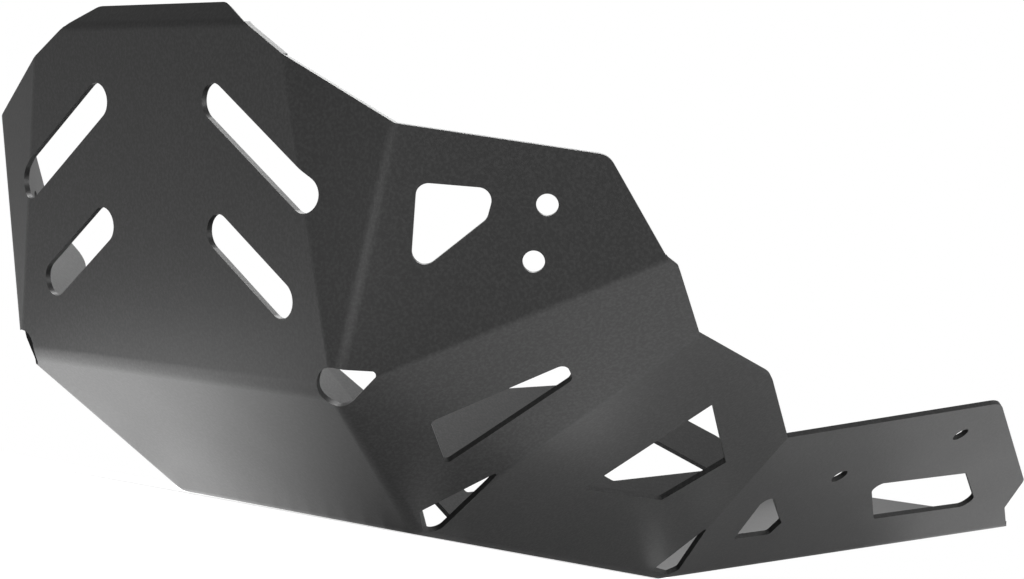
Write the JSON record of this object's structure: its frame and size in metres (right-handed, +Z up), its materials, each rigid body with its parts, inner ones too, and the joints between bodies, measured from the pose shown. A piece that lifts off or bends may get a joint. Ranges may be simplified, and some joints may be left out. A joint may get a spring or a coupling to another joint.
{
  "type": "motorcycle engine guard",
  "caption": "Black coated engine guard folded from one aluminium sheet, with a front, a belly, a raised tray and two slanted flanks with windows and bolt holes.",
  "frame": {"origin": "middle of the flat of the belly, on its outer face", "axes": "+X to the rear of the motorcycle, +Z up, the near side of the picture at -Y"},
  "size_m": [0.5774, 0.3996, 0.1919],
  "materials": {
    "coated_sheet": "black textured powder coat on aluminium"
  },
  "bodies": {
    "root": {"guard": "coated_sheet"}
  },
  "joints": []
}
